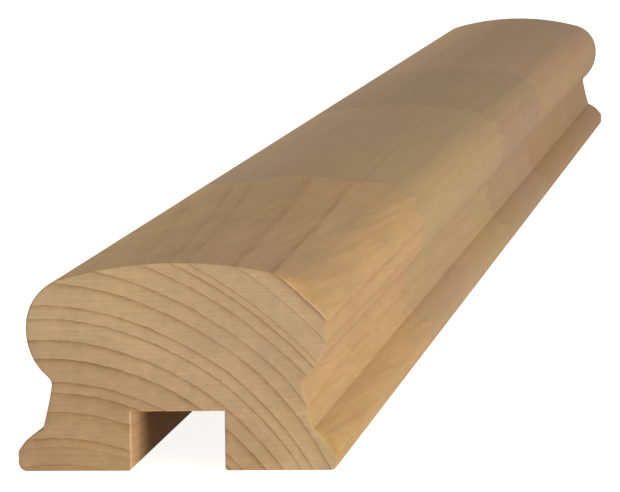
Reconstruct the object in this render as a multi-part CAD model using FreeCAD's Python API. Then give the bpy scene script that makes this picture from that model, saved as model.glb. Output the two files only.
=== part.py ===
"""Stair handrail length: a moulded pine rail with a baluster groove, finger-jointed from short blocks.

The rail lies on its feet along Y, with +Z up. The origin is in the middle of the rail's base.
All sizes are in millimetres.
"""

import FreeCAD
import Part

import math
import os

# Overall rail
RAIL_LENGTH = 1200.0
RAIL_HEIGHT = 42.0
BASE_WIDTH = 64.8
GRIP_WIDTH = 61.0

# Grip, the crowned upper half that the hand closes round
CROWN_RADIUS = 88.0
GRIP_TOP_RADIUS = 10.0
GRIP_SIDE_FLAT = 0.8
GRIP_UNDER_RADIUS = 12.5
WAIST_INSET = 5.25
WAIST_RADIUS = 2.0

# Feet, which flare out below the waist on both sides of the groove
COVE_DEPTH = 0.15
TOE_PROJECTION = 5.0
TOE_HEIGHT = 8.4
TOE_EDGE_HEIGHT = 4.0
TOE_BULGE = 0.6
TOE_EDGE_RADIUS = 1.5
TOE_ARRIS_RADIUS = 1.8

# Groove in the underside, which takes the baluster heads and the fillets between them
GROOVE_WIDTH = 19.0
GROOVE_DEPTH = 12.0

# Finger joints. The blocks are counted from the near end, and the last one takes the rest of the rail.
BLOCK_LENGTHS = (267.0, 323.0, 210.0)
FINGER_LENGTH = 15.0
FINGER_PITCH = 3.8
FINGER_TIP = 0.42
LOWEST_ROOT = -0.7

# How far the cutting prisms reach past the rail
CUT_MARGIN = 5.0

NEAR_END = -RAIL_LENGTH / 2


def straight(start, end):
    """A straight stretch of the section, as its two (x, z) ends."""
    return (start, end)


def rounded(centre, radius, start_angle, end_angle):
    """A round stretch of the section, as the (x, z) points at its start, middle and end."""
    angles = (start_angle, (start_angle + end_angle) / 2, end_angle)
    return tuple((centre[0] + radius * math.cos(a), centre[1] + radius * math.sin(a)) for a in angles)


def on_circle(centre, radius, towards):
    """The point of a circle that faces another point, which lies any distance from its centre."""
    run = towards[0] - centre[0]
    rise = towards[1] - centre[1]
    share = radius / math.hypot(run, rise)
    return (centre[0] + run * share, centre[1] + rise * share)


def swept(centre, start, end):
    """A round stretch about a centre, the short way from start to end, as its start, middle and end."""
    radius = math.hypot(start[0] - centre[0], start[1] - centre[1])
    chord_middle = ((start[0] + end[0]) / 2, (start[1] + end[1]) / 2)
    return (start, on_circle(centre, radius, chord_middle), end)


def crossing(first_centre, first_radius, second_centre, second_radius):
    """Where two circles cross, on the left of the line from the first centre to the second."""
    run = second_centre[0] - first_centre[0]
    rise = second_centre[1] - first_centre[1]
    apart = math.hypot(run, rise)
    along = (apart**2 + first_radius**2 - second_radius**2) / (2 * apart)
    aside = math.sqrt(first_radius**2 - along**2)
    return (
        first_centre[0] + (run * along - rise * aside) / apart,
        first_centre[1] + (rise * along + run * aside) / apart,
    )


def shallow_circle(start, end, depth):
    """Centre and radius of a shallow round from start to end, whose middle lies depth to the left of its chord."""
    run = end[0] - start[0]
    rise = end[1] - start[1]
    chord = math.hypot(run, rise)
    radius = (chord**2 / 4 + depth**2) / (2 * depth)
    reach = (radius - depth) / chord
    return ((start[0] + end[0]) / 2 + rise * reach, (start[1] + end[1]) / 2 - run * reach), radius


def grip_centre():
    """Centre of the roll at the grip's top edge, which touches the crown from inside."""
    x = GRIP_WIDTH / 2 - GRIP_TOP_RADIUS
    rise = math.sqrt((CROWN_RADIUS - GRIP_TOP_RADIUS) ** 2 - x**2)
    return (x, RAIL_HEIGHT - CROWN_RADIUS + rise)


def crown_angle():
    """Angle, from the X axis, at which the crown runs into the roll of the grip."""
    x, z = grip_centre()
    return math.atan2(z - (RAIL_HEIGHT - CROWN_RADIUS), x)


def side_stretches():
    """The right-hand side of the section, from the groove's edge up to the crown."""
    half_base = BASE_WIDTH / 2
    half_grip = GRIP_WIDTH / 2
    roll_x, roll_z = grip_centre()
    under_z = roll_z - GRIP_SIDE_FLAT

    arris = rounded((half_base - TOE_ARRIS_RADIUS, TOE_ARRIS_RADIUS), TOE_ARRIS_RADIUS, -math.pi / 2, 0)
    toe_edge = (half_base, TOE_EDGE_HEIGHT)
    toe_top = (half_base - TOE_PROJECTION, TOE_HEIGHT)
    toe_centre, toe_radius = shallow_circle(toe_top, toe_edge, TOE_BULGE)
    edge_x = half_base - TOE_EDGE_RADIUS
    edge_rise = math.sqrt((toe_radius - TOE_EDGE_RADIUS) ** 2 - (edge_x - toe_centre[0]) ** 2)
    edge_centre = (edge_x, toe_centre[1] + edge_rise)
    edge_start = (half_base, edge_centre[1])
    toe_start = on_circle(toe_centre, toe_radius, edge_centre)

    under_centre = (half_grip - GRIP_UNDER_RADIUS, under_z)
    waist_angle = -math.acos((GRIP_UNDER_RADIUS - WAIST_INSET) / GRIP_UNDER_RADIUS)
    waist = rounded(under_centre, GRIP_UNDER_RADIUS, waist_angle, waist_angle)[0]
    cove_centre, cove_radius = shallow_circle(toe_top, waist, COVE_DEPTH)
    waist_centre = crossing(cove_centre, cove_radius - WAIST_RADIUS, under_centre, GRIP_UNDER_RADIUS + WAIST_RADIUS)
    cove_top = on_circle(cove_centre, cove_radius, waist_centre)
    under_start = on_circle(under_centre, GRIP_UNDER_RADIUS, waist_centre)
    roll = rounded((roll_x, roll_z), GRIP_TOP_RADIUS, 0, crown_angle())

    return [
        straight((GROOVE_WIDTH / 2, 0), arris[0]),
        arris,
        straight(arris[-1], edge_start),
        swept(edge_centre, edge_start, toe_start),
        swept(toe_centre, toe_start, toe_top),
        swept(cove_centre, toe_top, cove_top),
        swept(waist_centre, cove_top, under_start),
        swept(under_centre, under_start, (half_grip, under_z)),
        straight((half_grip, under_z), (half_grip, roll_z)),
        roll,
    ]


def mirrored(stretches):
    """The same stretches on the left-hand side, in the order that goes on round the section."""
    return [tuple((-x, z) for x, z in reversed(stretch)) for stretch in reversed(stretches)]


def groove_stretches():
    """The groove, from its left edge up and over to its right edge."""
    half = GROOVE_WIDTH / 2
    corners = [(-half, 0), (-half, GROOVE_DEPTH), (half, GROOVE_DEPTH), (half, 0)]
    return [straight(a, b) for a, b in zip(corners, corners[1:])]


def section_face():
    """The rail's section, upright in the plane of its near end."""
    crown_centre = (0, RAIL_HEIGHT - CROWN_RADIUS)
    crown = rounded(crown_centre, CROWN_RADIUS, crown_angle(), math.pi - crown_angle())
    side = side_stretches()
    edges = []
    for stretch in side + [crown] + mirrored(side) + groove_stretches():
        points = [FreeCAD.Vector(x, NEAR_END, z) for x, z in stretch]
        curve = Part.LineSegment(*points) if len(points) == 2 else Part.Arc(*points)
        edges.append(curve.toShape())
    return Part.Face(Part.Wire(edges))


def finger_line(joint_y):
    """A finger joint's zigzag as (y, z) points, from the base up past the crown.

    Each finger is a wedge that runs across the rail's width, so the zigzag shows on the rail's sides.
    """
    root_y = joint_y - FINGER_LENGTH / 2
    tip_y = joint_y + FINGER_LENGTH / 2
    fingers = math.ceil((RAIL_HEIGHT - LOWEST_ROOT) / FINGER_PITCH)
    points = [(root_y, -CUT_MARGIN)]
    for finger in range(fingers):
        root_z = LOWEST_ROOT + finger * FINGER_PITCH
        tip_z = root_z + FINGER_PITCH / 2
        points += [(root_y, root_z + FINGER_TIP), (tip_y, tip_z)]
        points += [(tip_y, tip_z + FINGER_TIP), (root_y, root_z + FINGER_PITCH)]
    points.append((root_y, points[-1][1] + CUT_MARGIN))
    return points


def end_line(end_y):
    """A plain upright cut just past one end of the rail, as (y, z) points."""
    top = finger_line(end_y)[-1][1]
    return [(end_y, -CUT_MARGIN), (end_y, top)]


def block_cuts():
    """The cuts that bound the blocks, from the near end to the far end."""
    cuts = [end_line(NEAR_END - CUT_MARGIN)]
    joint_y = NEAR_END
    for length in BLOCK_LENGTHS:
        joint_y += length
        if joint_y + FINGER_LENGTH < NEAR_END + RAIL_LENGTH:
            cuts.append(finger_line(joint_y))
    cuts.append(end_line(NEAR_END + RAIL_LENGTH + CUT_MARGIN))
    return cuts


def block_prism(near_cut, far_cut):
    """Everything between two cuts, across more than the rail's width."""
    half = max(BASE_WIDTH, GRIP_WIDTH) / 2 + CUT_MARGIN
    outline = near_cut + far_cut[::-1] + near_cut[:1]
    wire = Part.makePolygon([FreeCAD.Vector(-half, y, z) for y, z in outline])
    return Part.Face(wire).extrude(FreeCAD.Vector(2 * half, 0, 0))


def rail_blocks():
    """The blocks of the rail, near end first, each with the fingers that mesh with its neighbours."""
    rail = section_face().extrude(FreeCAD.Vector(0, RAIL_LENGTH, 0))
    cuts = block_cuts()
    return [rail.common(block_prism(a, b)).Solids[0] for a, b in zip(cuts, cuts[1:])]


os.makedirs("parts", exist_ok=True)
for number, block in enumerate(rail_blocks(), start=1):
    name = f"rail_block_{number}"
    block.exportStep(f"parts/{name}.step")
    print(name, "valid" if block.isValid() else "not valid", round(block.Volume), "mm3", len(block.Faces), "faces")
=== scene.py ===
"""Looks of the stair handrail: four pine blocks with grain in depth, lying on a pale studio floor."""

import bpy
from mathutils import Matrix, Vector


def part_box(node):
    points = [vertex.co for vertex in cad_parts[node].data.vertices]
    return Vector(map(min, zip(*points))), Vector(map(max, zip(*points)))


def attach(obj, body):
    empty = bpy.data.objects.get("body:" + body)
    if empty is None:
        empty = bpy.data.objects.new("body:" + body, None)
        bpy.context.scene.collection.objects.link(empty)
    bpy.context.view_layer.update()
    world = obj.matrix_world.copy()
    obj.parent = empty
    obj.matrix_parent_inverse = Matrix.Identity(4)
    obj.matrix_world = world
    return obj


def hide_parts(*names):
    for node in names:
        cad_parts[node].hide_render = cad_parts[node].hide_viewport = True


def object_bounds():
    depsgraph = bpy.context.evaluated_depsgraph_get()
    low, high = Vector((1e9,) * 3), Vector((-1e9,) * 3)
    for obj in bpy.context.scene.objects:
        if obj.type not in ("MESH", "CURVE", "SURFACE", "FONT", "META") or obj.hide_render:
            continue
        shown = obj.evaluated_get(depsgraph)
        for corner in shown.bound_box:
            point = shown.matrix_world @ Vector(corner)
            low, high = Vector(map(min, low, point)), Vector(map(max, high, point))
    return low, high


bl_info = {
    "name": "Finger-Jointed Handrail",
    "version": (1, 0, 0),
    "blender": (4, 5, 0),
    "location": "View3D > Sidebar > Handrail",
    "description": "Dresses the blocks of a moulded stair handrail as planed pine and sets up its studio",
    "category": "Add Mesh",
}

import math

import bpy
import numpy as np
from mathutils import Matrix, Vector
from mathutils.geometry import delaunay_2d_cdt

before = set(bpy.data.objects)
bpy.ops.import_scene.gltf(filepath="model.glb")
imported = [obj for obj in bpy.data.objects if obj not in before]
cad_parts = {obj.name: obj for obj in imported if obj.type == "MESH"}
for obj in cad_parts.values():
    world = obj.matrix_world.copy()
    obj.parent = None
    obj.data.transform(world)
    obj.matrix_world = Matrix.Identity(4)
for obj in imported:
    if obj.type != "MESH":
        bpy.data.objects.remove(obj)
CAD_LOW, CAD_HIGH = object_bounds()

MM = 0.001
BLOCKS = sorted(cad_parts)
SENSOR_WIDTH = 36.0

# Places on the near end whose edge is rubbed away, as (x, z), reach and depth in millimetres
RUBBED_EDGES = [((26.9, 36.9), 8.5, 2.2), ((31, 5.5), 5.5, 1.2)]


# Properties


def length(name, description, millimetres):
    """A length that the user can set, given in millimetres and kept in metres."""
    return bpy.props.FloatProperty(
        name=name, description=description, default=millimetres * MM, unit="LENGTH", precision=5
    )


def amount(name, description, default):
    """A plain number that the user can set."""
    return bpy.props.FloatProperty(name=name, description=description, default=default)


def factor(name, description, default):
    """A share from 0 to 1 that the user can set."""
    return bpy.props.FloatProperty(
        name=name, description=description, default=default, min=0.0, max=1.0, subtype="FACTOR"
    )


def wattage(name, description, watts):
    """A lamp's power that the user can set."""
    return bpy.props.FloatProperty(name=name, description=description, default=watts, unit="POWER")


def position(name, description, x, y, z):
    """A place that the user can set, in metres."""
    return bpy.props.FloatVectorProperty(
        name=name, description=description, default=(x, y, z), size=3, subtype="XYZ", unit="LENGTH"
    )


def pane(name, description, width, height):
    """A lamp's width and height that the user can set, in metres."""
    return bpy.props.FloatVectorProperty(
        name=name, description=description, default=(width, height), size=2, unit="LENGTH"
    )


def turn(name, description, degrees):
    """An angle that the user can set, given in degrees and kept in radians."""
    return bpy.props.FloatProperty(
        name=name, description=description, default=math.radians(degrees), unit="ROTATION"
    )


def linear(channel):
    """Linear light of one 8-bit sRGB channel."""
    value = channel / 255
    return value / 12.92 if value <= 0.04045 else ((value + 0.055) / 1.055) ** 2.4


def tint(name, description, red, green, blue):
    """A colour that the user can set, given as 8-bit sRGB."""
    return bpy.props.FloatVectorProperty(
        name=name,
        description=description,
        subtype="COLOR",
        size=3,
        min=0.0,
        max=1.0,
        default=(linear(red), linear(green), linear(blue)),
    )


class RailSection(bpy.types.PropertyGroup):
    """Sizes of the moulded section and of its edges."""

    grip_width: length("Grip Width", "Width across the rolls of the grip", 61)
    crown_radius: length("Crown Radius", "Radius of the crowned top", 88)
    grip_top_radius: length("Top Roll", "Radius between the crown and the grip's side", 10)
    grip_side_flat: length("Side Flat", "Upright stretch at the grip's widest place", 0.8)
    grip_under_radius: length("Under Roll", "Radius under the grip, down to the waist", 12.5)
    waist_inset: length("Waist Inset", "How far the waist lies inside the grip", 5.25)
    waist_radius: length("Waist Radius", "Inside radius at the waist", 2)
    cove_depth: length("Cove Depth", "Hollow of the cove between the waist and the toe", 0.15)
    toe_projection: length("Toe Projection", "How far the toe stands out from the cove", 5)
    toe_height: length("Toe Height", "Height at which the toe's top meets the cove", 8.4)
    toe_edge_height: length("Toe Edge Height", "Height of the toe's upright edge", 4)
    toe_bulge: length("Toe Bulge", "How far the middle of the toe's sloping top stands out", 0.6)
    toe_edge_radius: length("Toe Edge Radius", "Radius at the top of the toe's upright edge", 1.5)
    toe_arris_radius: length("Toe Arris", "Radius of the toe's bottom edge", 1.8)
    groove_width: length("Groove Width", "Width of the baluster groove", 19)
    groove_depth: length("Groove Depth", "Depth of the baluster groove", 12)
    mouth_arris: length("Groove Arris", "Easing of the groove's mouth", 0.4)
    end_arris: length("End Arris", "Easing of the sawn ends", 0.28)
    end_wear: factor("End Wear", "How much the near end's right-hand edges are rubbed away", 1)
    wear_length: length("Wear Length", "How far along the rail that rub reaches", 7)
    spacing: length("Spacing", "Distance between mesh lines round the section", 0.5)
    row_spacing: length("Row Spacing", "Distance between mesh lines along the rail", 2.4)
    cap_spacing: length("End Spacing", "Distance between mesh points on the sawn ends", 0.8)


class FingerJoints(bpy.types.PropertyGroup):
    """Sizes of the finger joints. Their places and depth come from the blocks."""

    pitch: length("Pitch", "Height of one finger and its gap", 3.8)
    tip: length("Tip", "Height of a finger's flat tip", 0.42)
    lowest_root: length("Lowest Root", "Height of the lowest root above the base", -0.7)
    glue_depth: length("Glue Line Depth", "How far the glue line is sunk", 0.08)
    glue_width: length("Glue Line Width", "Half the width of the sunk glue line", 0.18)


class PineFinish(bpy.types.PropertyGroup):
    """Colours and relief of planed, unfinished pine."""

    earlywood: tint("Earlywood", "Pale wood of the growing season", 208, 176, 146)
    midwood: tint("Midwood", "Wood just before the dark line", 195, 159, 121)
    latewood: tint("Latewood", "Dark line that ends each ring", 146, 92, 58)
    redwood: tint("Resinous Latewood", "Reddish line of the rings near the pith", 166, 98, 66)
    # This darker, pinker tint on the rings near the pith, low in the rail, is partly the wood's own colour
    # and partly painted shade
    heartwood_and_shade: tint("Heartwood Tint", "Tint of the wood near the pith", 226, 216, 208)
    long_tint: tint("Long Grain Tint", "Warmth of the planed faces against the sawn ends", 251, 237, 207)
    # Painted light: the groove's walls and ceiling are made paler, to stand in for light reaching into the
    # groove
    groove_painted_light: amount("Groove Tone", "How much paler the freshly cut groove is", 1.35)
    ring_relief: length("Ring Relief", "How far earlywood lies below the dark lines", 0.015)
    saw_relief: length("Saw Relief", "Depth of the saw marks on the ends", 0.05)
    roughness: factor("Roughness", "Roughness of the planed faces", 0.62)
    shine: factor("Shine", "Specular level of the bare wood", 0.07)


class StudioSetup(bpy.types.PropertyGroup):
    """Floor, lamps and camera."""

    floor: tint("Floor", "Colour of the floor", 244, 244, 244)
    floor_radius: length("Floor Radius", "Radius of the round floor", 90000)
    floor_glow: amount("Floor Glow", "Light that the floor adds beside the rail", 0.88)
    floor_bounce: factor("Floor Bounce", "Share of that light which reaches the rail", 0.09)
    glow_reach: length("Glow Reach", "Distance at which the floor is all white", 2000)
    fill: tint("Fill Colour", "Colour of the light from all round", 230, 236, 246)
    fill_strength: amount("Fill Strength", "Level of the light from all round", 0.19)
    lamp_colour: tint("Lamp Colour", "Colour of the three lamps", 255, 251, 236)
    key_power: wattage("Key Power", "Power of the high lamp at the right", 27.2)
    key_place: position("Key Place", "Place of the high lamp at the right", 1.82, -1.54, 2.48)
    key_size: pane("Key Size", "Width and height of the high lamp at the right", 2.0, 1.2)
    key_aim: length("Key Aim", "Distance behind the near end at which that lamp is aimed", 350)
    front_power: wattage("Front Power", "Power of the low lamp before the near end", 82.8)
    front_place: position("Front Place", "Place of the low lamp before the near end", 2.62, -3.18, 0.25)
    front_size: pane("Front Size", "Width and height of the low lamp before the near end", 2.0, 0.5)
    back_power: wattage("Back Power", "Power of the low lamp at the left", 26.0)
    back_place: position("Back Place", "Place of the low lamp at the left", -1.7, 0.9, 0.1)
    back_size: pane("Back Size", "Width and height of the low lamp at the left", 1.6, 0.18)
    back_aim: length("Back Aim", "Distance behind the near end at which that lamp is aimed", 600)
    camera_x: length("Camera X", "Camera's place to the right of the rail's middle", 141.3)
    camera_before: length("Camera Distance", "Camera's place before the rail's near end", 1246.4)
    camera_z: length("Camera Height", "Camera's height above the floor", 140.6)
    heading: turn("Heading", "Turn of the view to the right of the rail's own line", -5.23)
    dip: turn("Dip", "Angle of the view below level", 4.36)
    roll: turn("Roll", "Clockwise turn of the camera about its view", 0.79)
    lens: bpy.props.FloatProperty(name="Lens", description="Focal length", default=363.9, unit="CAMERA")


# Section

# Heights closer than this are one level, in metres
SAME_LEVEL = 1e-7
# Slack for points that lie on a level, in metres
LEVEL_SLACK = 1e-9
# Mesh points closer than this share of their spacing are thinned out
CROWDED = 0.35
# Fewest steps in a round stretch, and how much coarser the flats of the underside are
FEWEST_STEPS = 4
FLAT_COARSENESS = 2


def straight(start, end, spacing):
    """Points from start to end, without the start."""
    start, end = np.array(start), np.array(end)
    steps = max(1, math.ceil(np.linalg.norm(end - start) / spacing))
    return start + (end - start) * np.linspace(0, 1, steps + 1)[1:, None]


def rounded(centre, radius, start_angle, end_angle, spacing):
    """Points along an arc, without its start."""
    steps = max(FEWEST_STEPS, math.ceil(radius * abs(end_angle - start_angle) / spacing))
    angles = np.linspace(start_angle, end_angle, steps + 1)[1:]
    return np.array(centre) + radius * np.stack([np.cos(angles), np.sin(angles)], -1)


def swept(centre, start, end, spacing):
    """Points along an arc about a centre, the short way from start to end, without the start."""
    first = math.atan2(start[1] - centre[1], start[0] - centre[0])
    last = math.atan2(end[1] - centre[1], end[0] - centre[0])
    turn_by = (last - first + math.pi) % (2 * math.pi) - math.pi
    return rounded(centre, np.linalg.norm(start - centre), first, first + turn_by, spacing)


def on_circle(centre, radius, towards):
    """The point of a circle that faces another point."""
    run = towards - centre
    return centre + run * radius / np.linalg.norm(run)


def crossing(first_centre, first_radius, second_centre, second_radius):
    """Where two circles cross, on the left of the line from the first centre to the second."""
    run = second_centre - first_centre
    apart = np.linalg.norm(run)
    along = (apart**2 + first_radius**2 - second_radius**2) / (2 * apart)
    aside = math.sqrt(first_radius**2 - along**2)
    return first_centre + (run * along + np.array((-run[1], run[0])) * aside) / apart


def shallow_circle(start, end, depth):
    """Centre and radius of a shallow round from start to end.

    Its middle lies depth to the left of its chord.
    """
    run = end - start
    chord = np.linalg.norm(run)
    radius = (chord**2 / 4 + depth**2) / (2 * depth)
    return (start + end) / 2 + np.array((run[1], -run[0])) * (radius - depth) / chord, radius


def right_half(section):
    """The section's right half, as (x, z) points from the groove's middle round to the crown's top.

    Also returns which points stay when others are thinned out, which are the ends of its stretches.
    """
    step = section.spacing
    flat_step = step * FLAT_COARSENESS
    half_base = (CAD_HIGH.x - CAD_LOW.x) / 2
    height = CAD_HIGH.z - CAD_LOW.z
    half_grip = section.grip_width / 2
    half_groove = section.groove_width / 2
    mouth = section.mouth_arris

    roll_x = half_grip - section.grip_top_radius
    crown_z = height - section.crown_radius
    rise = math.sqrt((section.crown_radius - section.grip_top_radius) ** 2 - roll_x**2)
    roll_z = crown_z + rise
    crown_angle = math.atan2(rise, roll_x)

    arris_z = section.toe_arris_radius
    arris_x = half_base - section.toe_arris_radius
    toe_edge = np.array((half_base, section.toe_edge_height))
    toe_top = np.array((half_base - section.toe_projection, section.toe_height))
    toe, toe_radius = shallow_circle(toe_top, toe_edge, section.toe_bulge)
    edge_x = half_base - section.toe_edge_radius
    edge_rise = math.sqrt((toe_radius - section.toe_edge_radius) ** 2 - (edge_x - toe[0]) ** 2)
    edge = np.array((edge_x, toe[1] + edge_rise))
    edge_start = np.array((half_base, edge[1]))
    toe_start = on_circle(toe, toe_radius, edge)

    under = np.array((half_grip - section.grip_under_radius, roll_z - section.grip_side_flat))
    waist_angle = -math.acos(1 - section.waist_inset / section.grip_under_radius)
    waist = under + section.grip_under_radius * np.array((math.cos(waist_angle), math.sin(waist_angle)))
    cove, cove_radius = shallow_circle(toe_top, waist, section.cove_depth)
    inner = crossing(
        cove, cove_radius - section.waist_radius, under, section.grip_under_radius + section.waist_radius
    )
    cove_top = on_circle(cove, cove_radius, inner)
    under_start = on_circle(under, section.grip_under_radius, inner)

    start = np.array([[0.0, section.groove_depth]])
    stretches = [
        start,
        straight(start[0], (half_groove, section.groove_depth), flat_step),
        straight((half_groove, section.groove_depth), (half_groove, mouth), flat_step),
        rounded((half_groove + mouth, mouth), mouth, math.pi, 1.5 * math.pi, step),
        straight((half_groove + mouth, 0), (arris_x, 0), flat_step),
        rounded((arris_x, arris_z), section.toe_arris_radius, -math.pi / 2, 0, step),
        straight((half_base, arris_z), edge_start, step),
        swept(edge, edge_start, toe_start, step),
        swept(toe, toe_start, toe_top, step),
        swept(cove, toe_top, cove_top, step),
        swept(inner, cove_top, under_start, step),
        swept(under, under_start, np.array((half_grip, under[1])), step),
        straight((half_grip, under[1]), (half_grip, roll_z), step),
        rounded((roll_x, roll_z), section.grip_top_radius, 0, crown_angle, step),
        rounded((0, crown_z), section.crown_radius, crown_angle, math.pi / 2, step),
    ]
    ends = np.cumsum([len(stretch) for stretch in stretches]) - 1
    points = np.concatenate(stretches)
    kept = np.zeros(len(points), bool)
    kept[ends] = True
    points[-1] = (0.0, height)
    return points, kept


def with_levels(points, kept, levels, spacing):
    """The half section with a point wherever it crosses a level, and crowded points thinned out."""
    out, fixed = [points[0]], [kept[0]]
    for (a, b), is_kept in zip(zip(points[:-1], points[1:]), kept[1:]):
        low, high = min(a[1], b[1]) + SAME_LEVEL, max(a[1], b[1]) - SAME_LEVEL
        crossed = [z for z in levels if low < z < high]
        for z in sorted(crossed, reverse=bool(b[1] < a[1])):
            out.append(a + (b - a) * (z - a[1]) / (b[1] - a[1]))
            fixed.append(True)
        on_level = any(abs(z - b[1]) <= SAME_LEVEL for z in levels)
        out.append(b)
        fixed.append(is_kept or on_level)
    out, fixed = np.array(out), np.array(fixed)
    close = np.linalg.norm(np.diff(out, axis=0), axis=1) < CROWDED * spacing
    crowded = np.zeros(len(out), bool)
    crowded[1:] |= close
    crowded[:-1] |= close
    return out[fixed | ~crowded]


class Section:
    """The closed section as a ring of points, counted from the groove's ceiling up the right-hand side."""

    def __init__(self, settings, joints):
        points, kept = right_half(settings)
        self.levels = sorted({*finger_levels(joints, points[-1][1]), settings.groove_depth})
        self.half = with_levels(points, kept, self.levels, settings.spacing)
        self.ring = np.concatenate([self.half, self.half[-2:0:-1] * (-1, 1)])
        ahead = np.roll(self.ring, -1, axis=0) - self.ring
        behind = np.roll(ahead, 1, axis=0)
        ahead /= np.linalg.norm(ahead, axis=1)[:, None]
        behind /= np.linalg.norm(behind, axis=1)[:, None]
        mean = ahead + behind
        mean /= np.linalg.norm(mean, axis=1)[:, None]
        self.normal = np.stack([mean[:, 1], -mean[:, 0]], -1)
        steps = np.linalg.norm(np.roll(self.ring, -1, axis=0) - self.ring, axis=1)
        self.around = np.concatenate([[0], np.cumsum(steps)])
        self.groove_depth = settings.groove_depth

    def mirror(self, index):
        """The point across the middle plane from a point of the right half."""
        return (len(self.ring) - index) % len(self.ring)

    def strips(self):
        """The section cut at its levels, as rings of point numbers, anticlockwise from the near end."""
        z = self.half[:, 1]
        lowest = np.flatnonzero(z < LEVEL_SLACK)
        corner = np.flatnonzero(z[: lowest[0]] > self.groove_depth - LEVEL_SLACK)[-1]
        inner = np.arange(corner, lowest[0])
        outer = np.arange(lowest[-1] + 1, len(z))
        between = [level for level in self.levels if LEVEL_SLACK < level < z[-1] - LEVEL_SLACK]
        cuts = [0.0, *between, z[-1]]
        for low, high in zip(cuts[:-1], cuts[1:]):
            right = [i for i in outer if low - LEVEL_SLACK <= z[i] <= high + LEVEL_SLACK]
            wall = [i for i in inner if low - LEVEL_SLACK <= z[i] <= high + LEVEL_SLACK]
            if high <= self.groove_depth + LEVEL_SLACK:
                foot = list(lowest) if low == 0.0 else []
                side = wall + foot + right
                yield side
                yield [self.mirror(i) for i in reversed(side)]
                continue
            left = [self.mirror(i) for i in reversed(right) if i != len(z) - 1]
            ceiling = []
            if abs(low - self.groove_depth) < LEVEL_SLACK:
                span = list(range(1, corner + 1))
                ceiling = [self.mirror(i) for i in reversed(span)] + [0] + span
            yield ceiling + right + left


# Finger joints


def finger_levels(joints, height):
    """Heights at which a joint's zigzag turns."""
    turns = (0.0, joints.tip, joints.pitch / 2, joints.pitch / 2 + joints.tip)
    fingers = math.ceil((height - joints.lowest_root) / joints.pitch)
    levels = [joints.lowest_root + n * joints.pitch + z for n in range(fingers) for z in turns]
    return [z for z in levels if 0 < z < height]


def zigzag(z, joints):
    """Place of a joint's cut at height z, from -1 at a root to 1 at a tip."""
    turns = (0.0, joints.tip, joints.pitch / 2, joints.pitch / 2 + joints.tip, joints.pitch)
    return np.interp((z - joints.lowest_root) % joints.pitch, turns, (-1, -1, 1, 1, -1))


# Grain in depth


class Grain:
    """How the growth rings lie in a block, in millimetres.

    slant, bow and hook tilt and bend the rings across the rail, twist and fan change that with height,
    droop bends them down over the right-hand foot, and lean carries them sideways and up along the block.
    rings lists each ring's height and how dark it ends, and long_lines lists those that end in another tone
    on the planed faces. tone is the block's own tint, and figure is how much its grain shows on those faces.
    """

    def __init__(
        self, *, slant, bow, hook, twist, fan, droop, lean, rings, tone, figure, seed, long_lines=()
    ):
        self.slant = slant
        self.bow = bow
        self.hook = hook
        self.twist = twist
        self.fan = fan
        self.droop = droop
        self.lean = lean
        self.levels = [level for level, _ in rings]
        self.strengths = [strength for _, strength in rings]
        planed = dict(long_lines)
        self.long_strengths = [planed.get(level, strength) for level, strength in rings]
        self.tone = tone
        self.figure = figure
        self.seed = seed


# Heights that the made-up rings fill, so that none of their blocks reaches past them, in millimetres
RING_RANGE = (-50, 90)


def wavering_rings(spacing, seed):
    """Made-up rings, whose spacing and strength waver in a way that doesn't repeat."""
    rings = []
    level, last = RING_RANGE
    while level < last:
        n = len(rings)
        rings.append((level, 0.55 + 0.3 * math.sin(2.3 * n + seed) + 0.15 * math.sin(5.1 * n)))
        level += spacing * (1 + 0.3 * math.sin(1.9 * n + seed) + 0.22 * math.sin(0.7 * n + 2 * seed))
    return rings


# Rings of the near block, as on its sawn end: height at the rail's middle plane and how dark each ends
NEAR_RINGS = [
    (-14, 0.5), (-11, 0.6), (-8.4, 0.5), (-5.6, 0.55), (-2, 0.32), (-0.4, 0.9),
    (5, 0.5), (8.8, 0.95), (10.9, 1), (15.6, 1), (19.4, 0.95), (21.5, 0.12),
    (23.5, 0.9), (26.2, 0.85), (30.8, 0.7), (34.4, 0.65), (38.6, 0.6), (41.5, 0.85),
    (43.1, 0.8), (48.3, 0.1), (52.3, 1), (56, 0.5), (59.5, 0.5), (64, 0.5), (70, 0.5),
]
# A ring that is faint on the sawn end and shows as a line on the near block's top
NEAR_LONG_LINES = [(48.3, 0.8)]

# The blocks' grain, near end first
GRAINS = [
    Grain(
        slant=15.8, bow=8, hook=-0.8, twist=-1, fan=-1.4, droop=4, lean=(0.03, -0.03),
        rings=NEAR_RINGS, long_lines=NEAR_LONG_LINES, tone=(0.975, 0.985, 0.89), figure=1.0, seed=1.3,
    ),
    Grain(
        slant=24, bow=5, hook=-1, twist=-1, fan=1, droop=0, lean=(-0.006, -0.006),
        rings=wavering_rings(2.9, 0.4), tone=(0.86, 0.92, 0.935), figure=0.5, seed=4.1,
    ),
    Grain(
        slant=20, bow=4, hook=-1, twist=-1, fan=1, droop=0, lean=(-0.007, 0.008),
        rings=wavering_rings(3.6, 1.7), tone=(0.77, 0.815, 0.85), figure=0.4, seed=7.7,
    ),
    Grain(
        slant=-14, bow=7, hook=1, twist=1, fan=1, droop=0, lean=(0.005, 0.007),
        rings=wavering_rings(3.2, 2.9), tone=(0.865, 0.88, 0.91), figure=0.38, seed=9.2,
    ),
]

# Steps in which the bend of the rings counts across and up the rail, and the height where up starts
ACROSS_STEP = 30
UP_STEP = 20
UP_START = 20


def not_below_zero(value):
    """A number, array or wire, with nothing below 0."""
    return value.math("MAXIMUM", 0.0) if isinstance(value, Wire) else np.maximum(value, 0)


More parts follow.
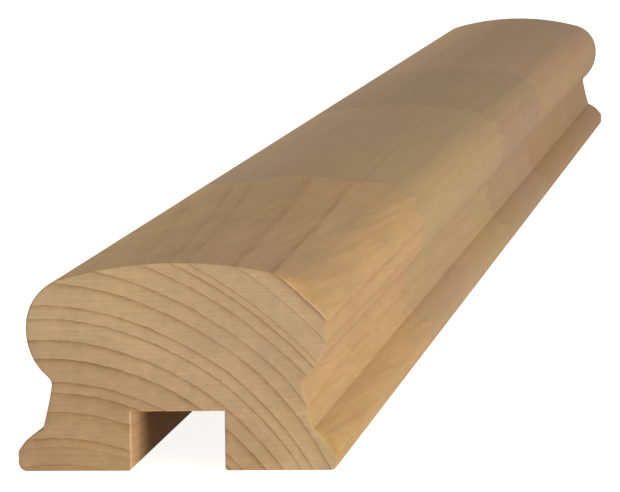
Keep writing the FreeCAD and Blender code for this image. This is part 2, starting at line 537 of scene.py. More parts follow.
def ring_height(x, y, z, grain):
    """The ring at a place, as the height at which it would cross the rail's middle plane.

    x and z are from the rail's middle and base, and y is from the block's near end, in millimetres.
    """
    across = (x - y * grain.lean[0]) / ACROSS_STEP
    above = z - y * grain.lean[1]
    up = (above - UP_START) / UP_STEP
    bend = across * (across * grain.hook + grain.bow + up * grain.fan) + grain.slant + up * grain.twist
    sag = not_below_zero(across) * not_below_zero(up * -1) * grain.droop
    return above + across * bend + sag


class Wire:
    """A number carried by a shader socket, so that one formula serves the shader and the mesh."""

    def __init__(self, tree, socket):
        self.tree = tree
        self.socket = socket

    def math(self, operation, *others):
        """A new wire that carries the result of a math node."""
        node = self.tree.nodes.new("ShaderNodeMath")
        node.operation = operation
        for socket, value in zip(node.inputs, (self, *others)):
            plug(self.tree, socket, value)
        return Wire(self.tree, node.outputs[0])

    def __add__(self, other):
        return self.math("ADD", other)

    def __sub__(self, other):
        return self.math("SUBTRACT", other)

    def __mul__(self, other):
        return self.math("MULTIPLY", other)

    def __truediv__(self, other):
        return self.math("DIVIDE", other)

    def __rsub__(self, other):
        return self * -1 + other

    __radd__ = __add__
    __rmul__ = __mul__


def plug(tree, socket, value):
    """Sets a socket to a number or colour, or links it to a wire."""
    if isinstance(value, Wire):
        tree.links.new(value.socket, socket)
    else:
        socket.default_value = value


# Block meshes

# Faces that meet at more than this angle have a sharp edge between them
SHARP_ANGLE = math.radians(32)

# Kind of result wanted from the triangulation, which is triangles inside the outline, and its weld distance
TRIANGLES_INSIDE = 1
WELD_DISTANCE = 1e-7
# Stands in for a rise of zero, so that nothing is divided by it
NO_RISE = 1e-12
# Shares of the spacing on a sawn end: from row to row, and from the outline to the first points
END_ROW_SHARE = 0.87
END_EDGE_SHARE = 0.6

# The bake map: (low u, high u, low v, high v) of the long faces, and corners and height of the two ends
LONG_SPAN = (0.01, 0.99, 0.01, 0.76)
NEAR_CAP = (0.03, 0.78)
FAR_CAP = (0.53, 0.78)
CAP_HEIGHT = 0.2

# Shares of the way at which a block has mesh rows: from a glue line to past the fingers, round the eased
# edge of a sawn end, and over the rub behind that edge
FINGER_ROWS = (0.2, 0.4, 0.6, 0.8)
ARRIS_ROWS = (1.0, 0.75, 0.5, 0.25, 0.0)
WEAR_ROWS = (0.12, 0.25, 0.4, 0.55, 0.7, 0.85, 1.0)
# Glue line widths from the tips of the fingers to the first flat row
FINGER_CLEARANCE = 4
# How unevenly the sawn ends are eased, and how fast the rub fades along the rail
ARRIS_WAVER = 0.35
WEAR_FADE = 1.5


def slow_noise(values, seed):
    """A smooth, repeatable wobble between about -1 and 1."""
    waves = ((0.9, 1.0), (2.3, 0.8), (5.1, 0.7), (11.7, 0.5), (23.0, 0.35))
    total = sum(size * np.sin(values * rate + seed * (n + 1)) for n, (rate, size) in enumerate(waves))
    return total / 2


class BlockMesh:
    """Gathers the vertices, faces and bake map of one block."""

    def __init__(self, section, grain, finish, near_y):
        self.section = section
        self.grain = grain
        self.finish = finish
        self.near_y = near_y
        self.rows = []
        self.vertices = []
        self.faces = []
        self.corners = []

    def add_row(self, y, inset):
        """One ring of points sunk by inset under the section.

        y is its place along the rail, or a function that gives it for heights.
        """
        inset = np.broadcast_to(inset, len(self.section.ring))
        ring = self.section.ring - self.section.normal * inset[:, None]
        y = y(ring[:, 1]) if callable(y) else np.broadcast_to(y, len(ring))
        self.rows.append(np.stack([ring[:, 0], y, ring[:, 1]], -1))

    def sink_grain(self):
        """Sinks the soft earlywood a little below the dark lines."""
        points = np.array(self.rows)
        x, y, z = (points[..., n] / MM for n in range(3))
        height = ring_height(x, y - self.near_y / MM, z, self.grain)
        phase = np.interp(height, self.grain.levels, np.arange(len(self.grain.levels)))
        ridge = 0.5 - 0.5 * np.cos(2 * np.pi * phase)
        depth = self.finish.ring_relief * ridge
        points[..., 0] -= self.section.normal[:, 0] * depth
        points[..., 2] -= self.section.normal[:, 1] * depth
        points[..., 2] = points[..., 2].clip(0, CAD_HIGH.z)
        self.rows = list(points)

    def skin(self):
        """Joins the rows into the block's long faces."""
        count = len(self.section.ring)
        around = self.section.around / self.section.around[-1]
        places = np.array([row[:, 1].mean() for row in self.rows])
        along = (places - places[0]) / (places[-1] - places[0])
        low_u, high_u, low_v, high_v = LONG_SPAN
        u = low_u + (high_u - low_u) * along
        v = low_v + (high_v - low_v) * around
        self.vertices = [tuple(p) for row in self.rows for p in row]
        for r in range(len(self.rows) - 1):
            here, there = r * count, (r + 1) * count
            for j in range(count):
                k = (j + 1) % count
                self.faces.append((here + j, there + j, there + k, here + k))
                self.corners += [(u[r], v[j]), (u[r + 1], v[j]), (u[r + 1], v[j + 1]), (u[r], v[j + 1])]

    def cap_spot(self, index, place):
        """Bake map spot of a vertex on an end whose corner lies at place in the map."""
        x, _, z = self.vertices[index]
        scale = CAP_HEIGHT / (CAD_HIGH.z - CAD_LOW.z)
        return (place[0] + (x - CAD_LOW.x) * scale, place[1] + z * scale)

    def add_cap_face(self, ring, far):
        """One face of an end, from vertices that run anticlockwise as seen from the near end."""
        place = FAR_CAP if far else NEAR_CAP
        ring = list(reversed(ring)) if far else list(ring)
        self.faces.append(tuple(ring))
        self.corners += [self.cap_spot(i, place) for i in ring]

    def finger_cap(self, far):
        """Closes a jointed end with the flanks of its fingers."""
        first = (len(self.rows) - 1) * len(self.section.ring) if far else 0
        for strip in self.section.strips():
            self.add_cap_face([first + i for i in strip], far)

    def sawn_cap(self, far, spacing):
        """Closes a sawn end with a fine mesh that carries the saw marks."""
        count = len(self.section.ring)
        first = (len(self.rows) - 1) * count if far else 0
        edge = np.array(self.vertices[first : first + count])
        outline = edge[:, (0, 2)] / MM
        inner = points_inside(outline, spacing / MM)
        flat = [Vector(p) for p in np.concatenate([outline, inner])]
        spots, _, faces, origins, _, _ = delaunay_2d_cdt(
            flat, [], [list(range(count))], TRIANGLES_INSIDE, WELD_DISTANCE, True
        )
        middles = np.array([np.mean([spots[i] for i in face], axis=0) for face in faces])
        numbers = []
        inward = -1 if far else 1
        for spot, sources in zip(spots, origins):
            on_outline = [source for source in sources if source < count]
            if on_outline:
                numbers.append(first + on_outline[0])
                continue
            marks = saw_marks(spot.x, spot.y, self.grain.seed) * self.finish.saw_relief
            numbers.append(len(self.vertices))
            self.vertices.append((spot.x * MM, edge[0][1] + inward * marks, spot.y * MM))
        for face, is_wanted in zip(faces, inside(outline, middles)):
            if is_wanted:
                self.add_cap_face([numbers[i] for i in face], far)

    def to_object(self, name):
        """The finished block as a Blender object, smooth but for its sharp edges."""
        mesh = bpy.data.meshes.new(name)
        mesh.from_pydata(self.vertices, [], self.faces)
        layer = mesh.uv_layers.new(name="OFBake")
        layer.data.foreach_set("uv", np.array(self.corners, np.float32).ravel())
        mesh.validate()
        mesh.shade_smooth()
        mesh.set_sharp_from_angle(angle=SHARP_ANGLE)
        piece = bpy.data.objects.new(name, mesh)
        bpy.context.scene.collection.objects.link(piece)
        return piece


def saw_marks(x, z, seed):
    """Depth of the saw marks, from 0 to 1, at a place on a sawn end, in millimetres.

    They are two waves, a little tilted, whose sum doesn't repeat.
    """
    line = z + 0.012 * x
    wave = math.sin(line * 3.7 + seed) + 0.7 * math.sin(line * 5.9 + 1.7 * seed + 0.05 * x)
    return 0.5 + 0.29 * wave


def inside(outline, points):
    """Which of the points lie inside a closed outline."""
    found = np.zeros(len(points), bool)
    for a, b in zip(outline, np.roll(outline, -1, axis=0)):
        spans = (a[1] > points[:, 1]) != (b[1] > points[:, 1])
        rise = b[1] - a[1] or NO_RISE
        found ^= spans & (points[:, 0] < a[0] + (b[0] - a[0]) * (points[:, 1] - a[1]) / rise)
    return found


def edge_distance(outline, points):
    """Distance of each point from a closed outline."""
    nearest = np.full(len(points), np.inf)
    for a, b in zip(outline, np.roll(outline, -1, axis=0)):
        share = ((points - a) @ (b - a) / ((b - a) @ (b - a))).clip(0, 1)
        nearest = np.minimum(nearest, np.linalg.norm(points - a - np.outer(share, b - a), axis=1))
    return nearest


def points_inside(outline, spacing):
    """A staggered grid of points inside a closed outline, clear of its edge."""
    low, high = outline.min(0), outline.max(0)
    xs = np.arange(low[0], high[0], spacing)
    zs = np.arange(low[1], high[1], spacing * END_ROW_SHARE)
    grid = np.array([(x + spacing / 2 * (n % 2), z) for n, z in enumerate(zs) for x in xs])
    return grid[inside(outline, grid) & (edge_distance(outline, grid) > END_EDGE_SHARE * spacing)]


def build_block(number, settings):
    """One block between its two cuts, as a new piece."""
    sizes, joints = settings.section, settings.joints
    section = Section(sizes, joints)
    name = BLOCKS[number]
    low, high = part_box(name)
    grain = GRAINS[number % len(GRAINS)]
    mesh = BlockMesh(section, grain, settings.finish, low.y)
    first, last = number == 0, number == len(BLOCKS) - 1

    if first:
        near_rows = end_rows(section, sizes, low.y, grain.seed, 1)
    else:
        near_rows = joint_rows(joints, joint_between(number - 1), 1)
    if last:
        far_rows = end_rows(section, sizes, high.y, grain.seed + 1, -1)
    else:
        far_rows = joint_rows(joints, joint_between(number), -1)
    near_plane, far_plane = near_rows[-1][0], far_rows[-1][0]
    steps = math.ceil((far_plane - near_plane) / sizes.row_spacing)
    middle = [(y, 0.0) for y in np.linspace(near_plane, far_plane, steps + 1)[1:-1]]
    for y, inset in [*near_rows, *middle, *reversed(far_rows)]:
        mesh.add_row(y, inset)
    mesh.sink_grain()
    mesh.skin()
    for far, is_sawn in ((False, first), (True, last)):
        if is_sawn:
            mesh.sawn_cap(far, sizes.cap_spacing)
        else:
            mesh.finger_cap(far)

    piece = mesh.to_object(f"pine_block_{number + 1}")
    piece.data.materials.append(pine_material(piece.name, grain, low.y, settings))
    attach(piece, "root")
    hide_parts(name)
    return piece


def joint_between(number):
    """(middle, half depth) along the rail of the joint between a block and the next."""
    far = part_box(BLOCKS[number])[1].y
    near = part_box(BLOCKS[number + 1])[0].y
    return (far + near) / 2, (far - near) / 2


def joint_rows(joints, joint, direction):
    """Rows from a joint's cut to the first plane clear of its fingers, as (place, inset) pairs."""
    middle, half = joint
    plane = middle + direction * (half + joints.glue_width * FINGER_CLEARANCE)

    def place(share, offset):
        def along(z):
            cut = middle + half * zigzag(z, joints)
            return cut + (plane - cut) * share + direction * offset * (1 - share)

        return along

    rows = [(place(0.0, 0.0), joints.glue_depth), (place(0.0, joints.glue_width), 0.0)]
    rows += [(place(share, joints.glue_width), 0.0) for share in FINGER_ROWS]
    rows.append((plane, 0.0))
    return rows


def end_rows(section, sizes, end_y, seed, direction):
    """Rows over the eased edge of a sawn end and the rub behind it, as (place, inset) pairs."""
    arris = sizes.end_arris * (1 + ARRIS_WAVER * slow_noise(section.around[:-1] / MM, seed))
    rub = np.zeros(len(section.ring))
    if direction > 0:
        for spot, reach, depth in RUBBED_EDGES:
            away = np.linalg.norm(section.ring / MM - spot, axis=1) / reach
            rub += sizes.end_wear * depth * MM * np.cos(away.clip(0, 1) * math.pi / 2) ** 2
    eased = []
    for share in ARRIS_ROWS:
        angle = share * math.pi / 2
        eased.append((arris * (1 - math.sin(angle)), arris * (1 - math.cos(angle))))
    eased += [(share * sizes.wear_length, 0.0) for share in WEAR_ROWS]
    rows = []
    for depth, inset in eased:
        fade = (1 - depth / sizes.wear_length) ** WEAR_FADE
        rows.append((end_y + direction * depth, inset + rub * fade))
    return rows


# Pine

# Noises of the wood: length of a feature along X, Y and Z in millimetres, step from the block's seed,
# detail and roughness
WOOD_NOISES = {
    "fuzz": ((1.6, 150, 1.6), 0, 3, 0.55),
    "sway": ((9, 180, 9), 1, 1, 0.55),
    "cloud": ((13, 70, 13), 2, 3, 0.55),
    "streak": ((2.2, 110, 2.2), 3, 5, 0.65),
    "fibre": ((0.3, 18, 0.3), 4, 3, 0.55),
    "fleck": ((0.45, 9, 0.45), 5, 1, 0.55),
    "saw": ((16, 1000, 0.4), 6, 3, 0.55),
    "patch": ((5, 90, 5), 7, 2, 0.55),
    "warmth": ((34, 210, 34), 8, 1, 0.55),
    "strand": ((0.7, 60, 0.7), 9, 2, 0.55),
    "dash": ((1.5, 9, 1.5), 10, 2, 0.55),
}
# How far one step of the seed moves a noise, in features
SEED_SHIFT = (7.1, 3.3, 5.7)
# Values between which most of a noise lies
NOISE_SPAN = (0.3, 0.7)
# Noises that are used over a span of their own: its two values, and what the noise gives at them
NOISE_USES = {
    "fibre": (0.25, 0.75, 0.96, 1.04),
    "fleck": (0.7, 0.78, 0.0, 1.0),
    "saw": (0.4, 0.75, 0.03, -0.09),
    "patch": (0.3, 0.6, 0.65, 1.1),
    "dash": (0.35, 0.65, 0.3, 1.2),
}

# How squarely a face looks along the rail where the sawn look starts and is whole
SAWN_FACING = (0.8, 0.97)
# How squarely a face looks sideways where ring lines start to fade and are faintest, and what is left
FLANK_FACING = (0.3, 0.8)
FLANK_SHARE = 0.55
# How far behind the groove's faces its painted light starts to fade and is gone, in millimetres
GROOVE_FADE = (0.1, 0.3)

# Parts of a ring between which its strength holds
RING_PARTS = (0.03, 0.97)

# How far the fuzz and the sway push the rings up and down, in millimetres
RING_FUZZ = 0.45
RING_SWAY = 0.3

# Heights between which the rings take on the tint near the pith, in millimetres. That tint is partly the
# wood's own colour and partly painted shade that darkens the lower rings
HEART_EDGE = 22
HEART_CORE = 4

# A ring's line on planed faces: its place in the ring, and half widths and shades of the line and its band
LINE_PLACE = 0.9
LINE_REACH = 0.1
LINE_SHADE = 0.42
BAND_REACH = 0.5
BAND_SHADE = 0.5

# A ring's line on sawn ends: how steeply it and its band darken, their shades, and the change near the pith
END_LINE_POWER = 7.5
END_LINE_SHADE = 0.87
END_LINE_HEART = -0.27
END_BAND_POWER = 2.5
END_BAND_SHADE = 0.25
END_BAND_HEART = 0.6

# Shares of the reddish line and of the tint near the pith, which is partly painted shade, and shade of the
# resin flecks
HEART_LINE_SHARE = 0.8
HEART_TINT_AND_SHADE_SHARE = 0.65
FLECK_SHADE = 0.2

# Light and dark of clouds, streaks and strands, of the pale wood at a ring's start, of the eased edge of a
# sawn end, which is paler torn fibres and a painted highlight, the slow drift of red, green and blue, and
# what sawn ends lose of it
FIGURE_SHADE = 0.07
RING_START_POWER = 7.0
RING_START_SHADE = 0.07
FRAY_AND_HIGHLIGHT_SHADE = 0.6
WARM_DRIFT = (0.0, 0.03, -0.08)
WARM_END_LOSS = 0.7

# How much the roughness varies with the fibres, which is also how much rougher the sawn ends are
ROUGH_SPREAD = 0.12

# Fine relief: strength and depth of the bump, shares of its sources, and how steeply the ring lines rise
BUMP_STRENGTH = 0.35
BUMP_DEPTH = 0.06 * MM
FIBRE_BUMP = 0.5
STREAK_BUMP = 0.4
SAW_BUMP = 0.9
LINE_BUMP = 0.3
LINE_BUMP_POWER = 5.0


def new_node(tree, kind, **settings):
    """A new shader node with the given settings."""
    node = tree.nodes.new(kind)
    for key, value in settings.items():
        setattr(node, key, value)
    return node


def blank_material(name):
    """A material with no nodes yet, and its node tree."""
    material = bpy.data.materials.new(name)
    material.use_nodes = True
    material.node_tree.nodes.clear()
    return material, material.node_tree


def axes_of(tree, vector):
    """The three numbers of a vector socket."""
    node = new_node(tree, "ShaderNodeSeparateXYZ")
    tree.links.new(vector, node.inputs[0])
    return [Wire(tree, socket) for socket in node.outputs]


def noise(tree, coords, cell, seed, detail, roughness):
    """Noise whose features are about cell millimetres long along X, Y and Z."""
    place = new_node(tree, "ShaderNodeVectorMath", operation="MULTIPLY_ADD")
    tree.links.new(coords, place.inputs[0])
    place.inputs[1].default_value = [1 / size for size in cell]
    place.inputs[2].default_value = [seed * shift for shift in SEED_SHIFT]
    texture = new_node(tree, "ShaderNodeTexNoise")
    tree.links.new(place.outputs[0], texture.inputs["Vector"])
    texture.inputs["Scale"].default_value = 1.0
    texture.inputs["Detail"].default_value = detail
    texture.inputs["Roughness"].default_value = roughness
    return Wire(tree, texture.outputs["Fac"])


def remap(value, low, high, new_low, new_high):
    """value from low to high, moved to new_low to new_high and held there."""
    node = new_node(value.tree, "ShaderNodeMapRange")
    for socket, item in zip(node.inputs, (value, low, high, new_low, new_high)):
        plug(value.tree, socket, item)
    return Wire(value.tree, node.outputs[0])


def blend(tree, share, first, second, mode="MIX"):
    """A mix of two colours."""
    node = new_node(tree, "ShaderNodeMix", data_type="RGBA", blend_type=mode)
    for index, value in ((0, share), (6, first), (7, second)):
        plug(tree, node.inputs[index], value)
    return Wire(tree, node.outputs[2])


def blend_value(share, first, second):
    """A mix of two numbers."""
    return first * (1.0 - share) + share * second


def curve_through(value, spots, low, high):
    """value moved along straight lines through (input, output) spots, whose outputs lie from low to high."""
    first, last = spots[0][0], spots[-1][0]
    node = new_node(value.tree, "ShaderNodeFloatCurve")
    curve = node.mapping.curves[0]
    for number, (place, result) in enumerate(spots):
        spot = ((place - first) / (last - first), (result - low) / (high - low))
        if number in (0, len(spots) - 1):
            point = curve.points[0 if number == 0 else -1]
            point.location = spot
        else:
            point = curve.points.new(*spot)
        point.handle_type = "VECTOR"
    node.mapping.update()
    plug(value.tree, node.inputs["Value"], remap(value, first, last, 0.0, 1.0))
    return Wire(value.tree, node.outputs[0]) * (high - low) + low


def ring_strength(phase, strengths):
    """How dark the ring at a place ends, where phase counts the rings."""
    steps = [(n + edge, s) for n, s in enumerate(strengths[1:]) for edge in RING_PARTS]
    return curve_through(phase, steps, 0, 1)


def groove_mask(x, z, section):
    """1 on the walls and ceiling of the groove, where its painted light goes, and 0 elsewhere, at a place in
    millimetres.
    """
    side = x.math("ABSOLUTE")
    walls = [section.groove_width / MM / 2 + fade for fade in GROOVE_FADE]
    ceiling = [section.groove_depth / MM + fade for fade in GROOVE_FADE]
    return remap(side, *walls, 1.0, 0.0) * remap(z, *ceiling, 1.0, 0.0)


class Timber:
    """What the shader knows of a place in a block: the kind of face, the noises and the ring."""

    def __init__(self, tree, grain, near_y, section):
        spots = new_node(tree, "ShaderNodeTexCoord")
        x, y, z = (place / MM for place in axes_of(tree, spots.outputs["Object"]))
        y = y - near_y / MM
        facing_x, facing_y, _ = axes_of(tree, spots.outputs["Normal"])
        self.sawn = remap(facing_y.math("ABSOLUTE"), *SAWN_FACING, 0.0, 1.0)
        self.flank = remap(facing_x.math("ABSOLUTE"), *FLANK_FACING, 1.0, FLANK_SHARE)
        self.in_groove = groove_mask(x, z, section)

        fibres = new_node(tree, "ShaderNodeCombineXYZ")
        for socket, value in zip(fibres.inputs, (x - y * grain.lean[0], y, z - y * grain.lean[1])):
            plug(tree, socket, value)
        self.noise = {
            name: noise(tree, fibres.outputs[0], cell, grain.seed + step, detail, roughness)
            for name, (cell, step, detail, roughness) in WOOD_NOISES.items()
        }

        fuzz = (self.noise["fuzz"] - 0.5) * RING_FUZZ
        sway = (self.noise["sway"] - 0.5) * RING_SWAY
        height = ring_height(x, y, z, grain) + fuzz + sway
        self.heart = remap(height, HEART_EDGE, HEART_CORE, 0, 1)
        counted = [(level, n) for n, level in enumerate(grain.levels)]
        phase = curve_through(height, counted, 0, len(counted) - 1)
        self.part = phase.math("FRACT")
        on_faces = ring_strength(phase, grain.long_strengths)
        on_ends = ring_strength(phase, grain.strengths)
        self.strength = blend_value(self.sawn, on_faces, on_ends) * self.noise_use("patch")

    def noise_use(self, name):
        """A noise over the span that NOISE_USES gives it."""
        return remap(self.noise[name], *NOISE_USES[name])


def ring_colour(tree, timber, grain, finish):
    """The colour of the rings, from pale wood to the dark line that ends each of them."""
    sawn, heart, part, strength = timber.sawn, timber.heart, timber.part, timber.strength
    from_line = (part - LINE_PLACE).math("ABSOLUTE")
    bold = strength * strength * timber.flank
    long_line = remap(from_line, 0.0, LINE_REACH, LINE_SHADE * grain.figure, 0.0)
    long_line = long_line * timber.noise_use("dash") * bold
    long_band = remap(from_line, 0.0, BAND_REACH, BAND_SHADE * grain.figure, 0.0)
    end_line = part.math("POWER", END_LINE_POWER) * (heart * END_LINE_HEART + END_LINE_SHADE)
    end_band = part.math("POWER", END_BAND_POWER) * (heart * END_BAND_HEART + END_BAND_SHADE)
    late = blend_value(sawn, long_line, end_line) * strength
    mid = blend_value(sawn, long_band, end_band) * strength

    colour = blend(tree, mid, [*finish.earlywood, 1], [*finish.midwood, 1])
    line = blend(tree, heart * HEART_LINE_SHARE, [*finish.latewood, 1], [*finish.redwood, 1])
    colour = blend(tree, late, colour, line)
    # Darker, pinker rings near the pith, low in the rail: partly the wood's own colour, partly painted shade
    colour = blend(tree, heart * HEART_TINT_AND_SHADE_SHARE, colour, [*finish.heartwood_and_shade, 1], "MULTIPLY")
    # The groove is kept from the warm long grain tint, as part of its painted light
    planed = (1.0 - sawn) * (1.0 - timber.in_groove)
    colour = blend(tree, planed, colour, [*finish.long_tint, 1], "MULTIPLY")
    return blend(tree, timber.noise_use("fleck") * FLECK_SHADE, colour, [*finish.latewood, 1])


def wood_tone(tree, timber, grain, finish):
    """What lightens and darkens the rings: clouds, streaks, fibres, saw marks, the block's own tint and
    painted light.
    """
    sawn, found = timber.sawn, timber.noise
    rise = FIGURE_SHADE * grain.figure
    value = remap(found["cloud"], *NOISE_SPAN, 1 - rise, 1 + rise)
    value = value * remap(found["streak"], *NOISE_SPAN, 1 - rise, 1 + rise)
    value = value * timber.noise_use("fibre")
    value = value * ((1.0 - sawn) * remap(found["strand"], *NOISE_SPAN, -rise, rise) + 1.0)
    value = value * (1.0 - sawn * timber.noise_use("saw"))
    ring_start = (1.0 - timber.part).math("POWER", RING_START_POWER) * timber.strength * sawn
    value = value * (ring_start * RING_START_SHADE + 1.0)
    # The eased edge of a sawn end is lighter: paler torn fibres together with a painted highlight
    fray_and_highlight = sawn * (1.0 - sawn)
    value = value * (fray_and_highlight * FRAY_AND_HIGHLIGHT_SHADE + 1.0)
    # Painted light: the walls and ceiling of the groove are made paler, as if more light reached into them
    value = value * (timber.in_groove * (finish.groove_painted_light - 1.0) + 1.0)
    warm = remap(found["warmth"], *NOISE_SPAN, -1.0, 1.0) * (1.0 - sawn * WARM_END_LOSS)
    shade = new_node(tree, "ShaderNodeCombineColor")
    for socket, share, drift in zip(shade.inputs, grain.tone, WARM_DRIFT):
        plug(tree, socket, value * (warm * (share * drift) + share))
    return Wire(tree, shade.outputs[0])


def wood_relief(timber):
    """Fine relief: lines, fibres and streaks on planed faces, saw marks and fibres on sawn ends."""
    fibre = timber.noise["fibre"] * FIBRE_BUMP
    line = timber.part.math("POWER", LINE_BUMP_POWER) * LINE_BUMP
    on_faces = line + fibre + timber.noise["streak"] * STREAK_BUMP
    on_ends = timber.noise["saw"] * SAW_BUMP + fibre
    return blend_value(timber.sawn, on_faces, on_ends)


def pine_material(name, grain, near_y, settings):
    """Planed pine with rings, fibres, resin flecks and saw marks, all in depth."""
    finish = settings.finish
    material, tree = blank_material(name)
    timber = Timber(tree, grain, near_y, settings.section)
    rings = ring_colour(tree, timber, grain, finish)
    tone = wood_tone(tree, timber, grain, finish)

    bump = new_node(tree, "ShaderNodeBump")
    bump.inputs["Strength"].default_value = BUMP_STRENGTH
    bump.inputs["Distance"].default_value = BUMP_DEPTH
    plug(tree, bump.inputs["Height"], wood_relief(timber))

    shader = new_node(tree, "ShaderNodeBsdfPrincipled")
    plug(tree, shader.inputs["Base Color"], blend(tree, 1.0, rings, tone, "MULTIPLY"))
    fibre_roughness = timber.noise["fibre"] * ROUGH_SPREAD + (finish.roughness - ROUGH_SPREAD / 2)
    plug(tree, shader.inputs["Roughness"], fibre_roughness + timber.sawn * ROUGH_SPREAD)
    shader.inputs["Specular IOR Level"].default_value = finish.shine
    tree.links.new(bump.outputs[0], shader.inputs["Normal"])
    output = new_node(tree, "ShaderNodeOutputMaterial")
    tree.links.new(shader.outputs[0], output.inputs["Surface"])
    return material


# Studio

FLOOR_SIDES = 96
# Under the groove, gloss sees less of the floor's glow, a painted shadow in its reflections: up to where it
# is dimmest and from where it is whole, in metres from the middle plane, and the share that is left
DIM_FROM = 0.012
DIM_TO = 0.03
DIM_SHARE = 0.15
# Nearest thing that the camera shows, in metres, and the farthest, in radii of the floor
CLIP_NEAR = 0.05
CLIP_FAR = 4


def background_rays(tree):
    """1 for rays from the camera, a gloss or glass, which see the background, and 0 for all others."""
    path = new_node(tree, "ShaderNodeLightPath")
    seen = Wire(tree, path.outputs["Is Camera Ray"])
    for name in ("Is Glossy Ray", "Is Transmission Ray"):
        seen = seen.math("MAXIMUM", Wire(tree, path.outputs[name]))
    return seen


def light_world(studio):
    """White where it is seen, and an even, slightly cool light everywhere else."""
    world = bpy.data.worlds.new("studio")
    bpy.context.scene.world = world
    world.use_nodes = True
    tree = world.node_tree
    tree.nodes.clear()
    fill = new_node(tree, "ShaderNodeBackground")
    fill.inputs["Color"].default_value = (*studio.fill, 1)
    fill.inputs["Strength"].default_value = studio.fill_strength
    white = new_node(tree, "ShaderNodeBackground")
    white.inputs["Color"].default_value = (1, 1, 1, 1)
    mix = new_node(tree, "ShaderNodeMixShader")
    plug(tree, mix.inputs[0], background_rays(tree))
    tree.links.new(fill.outputs[0], mix.inputs[1])
    tree.links.new(white.outputs[0], mix.inputs[2])
    output = new_node(tree, "ShaderNodeOutputWorld")
    tree.links.new(mix.outputs[0], output.inputs["Surface"])


def floor_material(studio):
    """Pale floor that is near white to the camera and keeps the rail's soft shadow.

    The camera sees all of its glow, gloss sees less under the groove as a painted shadow, and little of it
    lights the rail.
    """
    material, tree = blank_material("pale_floor")
    diffuse = new_node(tree, "ShaderNodeBsdfDiffuse")
    diffuse.inputs["Color"].default_value = (*studio.floor, 1)
    white = new_node(tree, "ShaderNodeEmission")
    white.inputs["Color"].default_value = (1, 1, 1, 1)
    spots = new_node(tree, "ShaderNodeTexCoord")
    reach = new_node(tree, "ShaderNodeVectorMath", operation="LENGTH")
    tree.links.new(spots.outputs["Object"], reach.inputs[0])
    far_off = Wire(tree, reach.outputs["Value"])
    glow = remap(far_off, CAD_HIGH.y, studio.glow_reach, studio.floor_glow, 1.0)
    aside = axes_of(tree, spots.outputs["Object"])[0].math("ABSOLUTE")
    path = new_node(tree, "ShaderNodeLightPath")
    by_camera = Wire(tree, path.outputs["Is Camera Ray"])
    # Painted shadow: reflections see the floor under the groove dimmer
    by_gloss = remap(aside, DIM_FROM, DIM_TO, DIM_SHARE, 1.0) * Wire(tree, path.outputs["Is Glossy Ray"])
    seen = by_gloss.math("MAXIMUM", studio.floor_bounce).math("MAXIMUM", by_camera)
    plug(tree, white.inputs["Strength"], seen * glow)
    both = new_node(tree, "ShaderNodeAddShader")
    tree.links.new(diffuse.outputs[0], both.inputs[0])
    tree.links.new(white.outputs[0], both.inputs[1])
    output = new_node(tree, "ShaderNodeOutputMaterial")
    tree.links.new(both.outputs[0], output.inputs["Surface"])
    return material


def lay_floor(studio):
    """A round floor under the rail."""
    radius = studio.floor_radius
    turns = np.linspace(0, 2 * math.pi, FLOOR_SIDES, endpoint=False)
    rim = [(radius * math.cos(a), radius * math.sin(a), CAD_LOW.z) for a in turns]
    mesh = bpy.data.meshes.new("floor")
    mesh.from_pydata(rim, [], [tuple(range(FLOOR_SIDES))])
    mesh.materials.append(floor_material(studio))
    floor = bpy.data.objects.new("floor", mesh)
    bpy.context.scene.collection.objects.link(floor)


def hang_lamp(name, place, target, size, power, colour):
    """A soft rectangular lamp at place that faces target."""
    lamp = bpy.data.lights.new(name, "AREA")
    lamp.shape = "RECTANGLE"
    lamp.size, lamp.size_y = size
    lamp.energy = power
    lamp.color = colour
    stand = bpy.data.objects.new(name, lamp)
    stand.location = place
    stand.rotation_euler = (Vector(target) - Vector(place)).to_track_quat("-Z", "Y").to_euler()
    bpy.context.scene.collection.objects.link(stand)


def place_camera(studio):
    """The camera at the photograph's viewing angle, with no lens shift."""
    heading, dip, roll = studio.heading, studio.dip, studio.roll
    level = Vector((math.sin(heading), math.cos(heading), 0))
    forward = level * math.cos(dip) - Vector((0, 0, math.sin(dip)))
    right = Vector((math.cos(heading), -math.sin(heading), 0))
    down = forward.cross(right)
    right, down = (
        right * math.cos(roll) + down * math.sin(roll),
        down * math.cos(roll) - right * math.sin(roll),
    )
    camera = bpy.data.cameras.new("camera")
    camera.lens = studio.lens
    camera.sensor_width = SENSOR_WIDTH
    camera.clip_start = CLIP_NEAR
    camera.clip_end = CLIP_FAR * studio.floor_radius
    stand = bpy.data.objects.new("camera", camera)
    axes = Matrix((right, -down, -forward)).transposed()
    place = Vector((studio.camera_x, CAD_LOW.y - studio.camera_before, studio.camera_z))
    stand.matrix_world = Matrix.Translation(place) @ axes.to_4x4()
    bpy.context.scene.collection.objects.link(stand)
    bpy.context.scene.camera = stand


# Operators and panel


class HandrailSettings(bpy.types.PropertyGroup):
    """All settings of the handrail."""

    section: bpy.props.PointerProperty(type=RailSection)
    joints: bpy.props.PointerProperty(type=FingerJoints)
    finish: bpy.props.PointerProperty(type=PineFinish)
    studio: bpy.props.PointerProperty(type=StudioSetup)


class HANDRAIL_OT_blocks(bpy.types.Operator):
    """Make the pine blocks of the rail, with their finger joints"""

    bl_idname = "handrail.blocks"
    bl_label = "Make Pine Blocks"

    def execute(self, context):
        for number in range(len(BLOCKS)):
            build_block(number, context.scene.handrail)
        return {"FINISHED"}


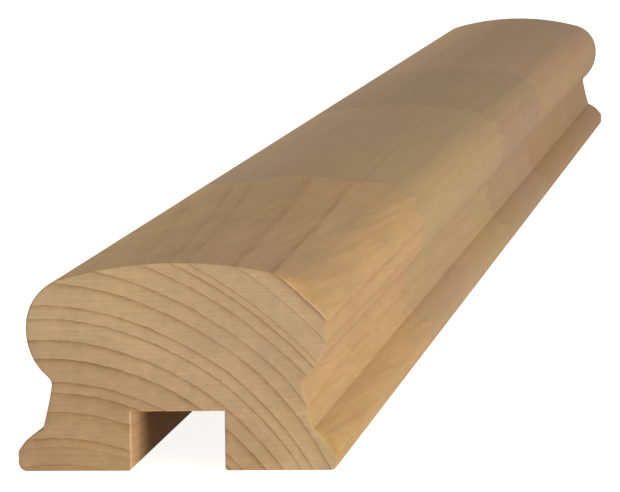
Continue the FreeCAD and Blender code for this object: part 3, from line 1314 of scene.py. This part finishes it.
class HANDRAIL_OT_stage(bpy.types.Operator):
    """Lay the floor, light the rail and place the camera"""

    bl_idname = "handrail.stage"
    bl_label = "Set Up Studio"

    def execute(self, context):
        studio = context.scene.handrail.studio
        context.scene.view_settings.view_transform = "Standard"
        light_world(studio)
        lay_floor(studio)
        near = Vector((0, CAD_LOW.y, CAD_HIGH.z / 2))
        for name, place, aim, size, power in (
            ("key", studio.key_place, studio.key_aim, studio.key_size, studio.key_power),
            ("front", studio.front_place, 0.0, studio.front_size, studio.front_power),
            ("back", studio.back_place, studio.back_aim, studio.back_size, studio.back_power),
        ):
            hang_lamp(name, place, near + Vector((0, aim, 0)), size, power, studio.lamp_colour)
        place_camera(studio)
        return {"FINISHED"}


class HANDRAIL_PT_panel(bpy.types.Panel):
    """Lists the steps and settings of the handrail"""

    bl_label = "Handrail"
    bl_idname = "HANDRAIL_PT_panel"
    bl_space_type = "VIEW_3D"
    bl_region_type = "UI"
    bl_category = "Handrail"

    def draw(self, context):
        """Draws a button for each step and a box for each group of settings"""
        settings = context.scene.handrail
        for operator in (HANDRAIL_OT_blocks, HANDRAIL_OT_stage):
            self.layout.operator(operator.bl_idname)
        for group in (settings.section, settings.joints, settings.finish, settings.studio):
            box = self.layout.box()
            for key in group.bl_rna.properties.keys():
                if key not in ("rna_type", "name"):
                    box.prop(group, key)


CLASSES = (
    RailSection,
    FingerJoints,
    PineFinish,
    StudioSetup,
    HandrailSettings,
    HANDRAIL_OT_blocks,
    HANDRAIL_OT_stage,
    HANDRAIL_PT_panel,
)


def register():
    """Makes the classes and settings known to Blender."""
    for kind in CLASSES:
        bpy.utils.register_class(kind)
    bpy.types.Scene.handrail = bpy.props.PointerProperty(type=HandrailSettings)


def unregister():
    """Takes them away again."""
    del bpy.types.Scene.handrail
    for kind in reversed(CLASSES):
        bpy.utils.unregister_class(kind)


def main():
    """Builds the rail and its studio."""
    register()
    bpy.ops.handrail.blocks()
    bpy.ops.handrail.stage()


if __name__ == "__main__":
    main()
